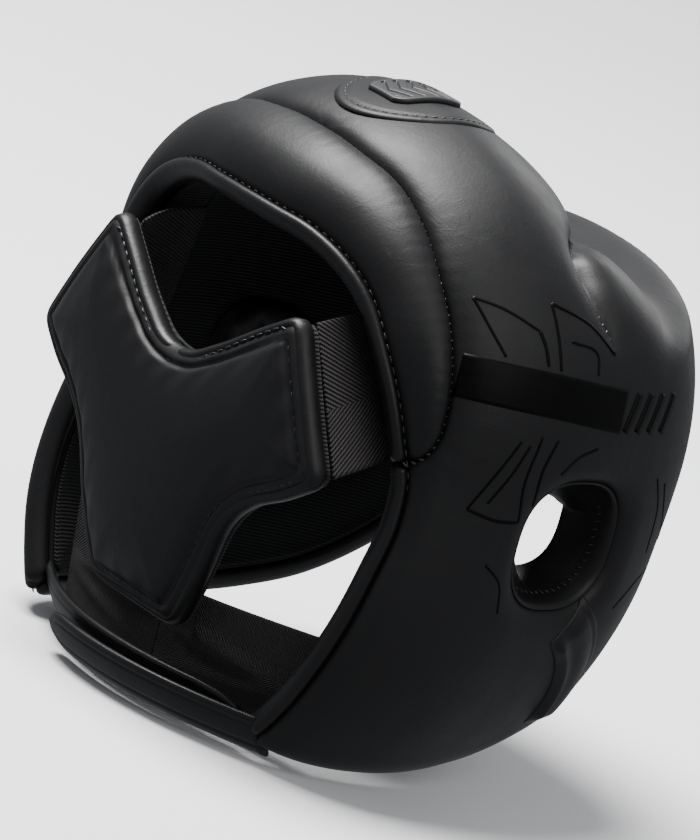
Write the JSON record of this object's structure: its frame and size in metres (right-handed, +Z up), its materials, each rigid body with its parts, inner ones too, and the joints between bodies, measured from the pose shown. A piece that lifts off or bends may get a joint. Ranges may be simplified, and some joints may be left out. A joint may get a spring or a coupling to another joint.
{
  "type": "boxing headgear",
  "caption": "Full padded boxing headgear with ear openings, a crescent rear arch, a Y-shaped rear pad on wide elastics and a crossed neck closure.",
  "frame": {"origin": "midpoint between the two ear openings, inside the head cavity", "axes": "+Z up towards the crown, -Y the way the wearer's face looks, +X the wearer's left"},
  "size_m": [0.232, 0.2114, 0.2427],
  "materials": {
    "main_cover": "matte",
    "main_foam": "matte",
    "main_lining": "ribbed",
    "arch_cover": "matte",
    "arch_foam": "matte",
    "arch_lining": "ribbed",
    "ear_sleeve_right": "matte",
    "ear_sleeve_left": "matte",
    "jaw_band_right": "matte",
    "jaw_band_left": "matte",
    "side_stripe_right": "glossy",
    "side_stripe_left": "glossy",
    "crown_patch": "matte",
    "crown_badge": "satin",
    "arch_piping": "satin",
    "rear_piping_right": "satin",
    "rear_piping_left": "satin",
    "rear_pad_cover": "matte",
    "rear_pad_foam": "matte",
    "rear_pad_backing": "matte",
    "rear_pad_hook_tape": "matte",
    "elastic_right": "woven",
    "elastic_left": "woven",
    "flap_right_cover": "matte",
    "flap_right_foam": "matte",
    "flap_right_hook": "matte",
    "flap_left_cover": "matte",
    "flap_left_foam": "matte",
    "flap_left_backing": "matte",
    "neck_strap_right": "woven",
    "neck_strap_left": "woven"
  },
  "bodies": {
    "shell": {"main_cover": "main_cover", "main_foam": "main_foam", "main_lining": "main_lining", "arch_cover": "arch_cover", "arch_foam": "arch_foam", "arch_lining": "arch_lining", "ear_sleeve_right": "ear_sleeve_right", "ear_sleeve_left": "ear_sleeve_left", "jaw_band_right": "jaw_band_right", "jaw_band_left": "jaw_band_left", "side_stripe_right": "side_stripe_right", "side_stripe_left": "side_stripe_left", "crown_patch": "crown_patch", "crown_badge": "crown_badge", "arch_piping": "arch_piping", "rear_piping_right": "rear_piping_right", "rear_piping_left": "rear_piping_left", "elastic_right": "elastic_right", "elastic_left": "elastic_left", "flap_left_cover": "flap_left_cover", "flap_left_foam": "flap_left_foam", "flap_left_backing": "flap_left_backing", "neck_strap_right": "neck_strap_right", "neck_strap_left": "neck_strap_left"},
    "rear_pad": {"rear_pad_cover": "rear_pad_cover", "rear_pad_foam": "rear_pad_foam", "rear_pad_backing": "rear_pad_backing", "rear_pad_hook_tape": "rear_pad_hook_tape"},
    "neck_flap_right": {"flap_right_cover": "flap_right_cover", "flap_right_foam": "flap_right_foam", "flap_right_hook": "flap_right_hook"}
  },
  "joints": [
    {"name": "rear_pad_tilt", "type": "hinge", "parent": "shell", "child": "rear_pad", "pos_m": [0, 0.095, 0.053], "axis": [1, 0, 0], "range_deg": [0, 32], "stiffness_Nm_per_rad": 0.3, "deforming": ["elastic_right", "elastic_left"]},
    {"name": "neck_flap_right_swing", "type": "hinge", "parent": "shell", "child": "neck_flap_right", "pos_m": [-0.071, 0.084, -0.097], "axis": [0, 0, 1], "range_deg": [0, 80]}
  ]
}
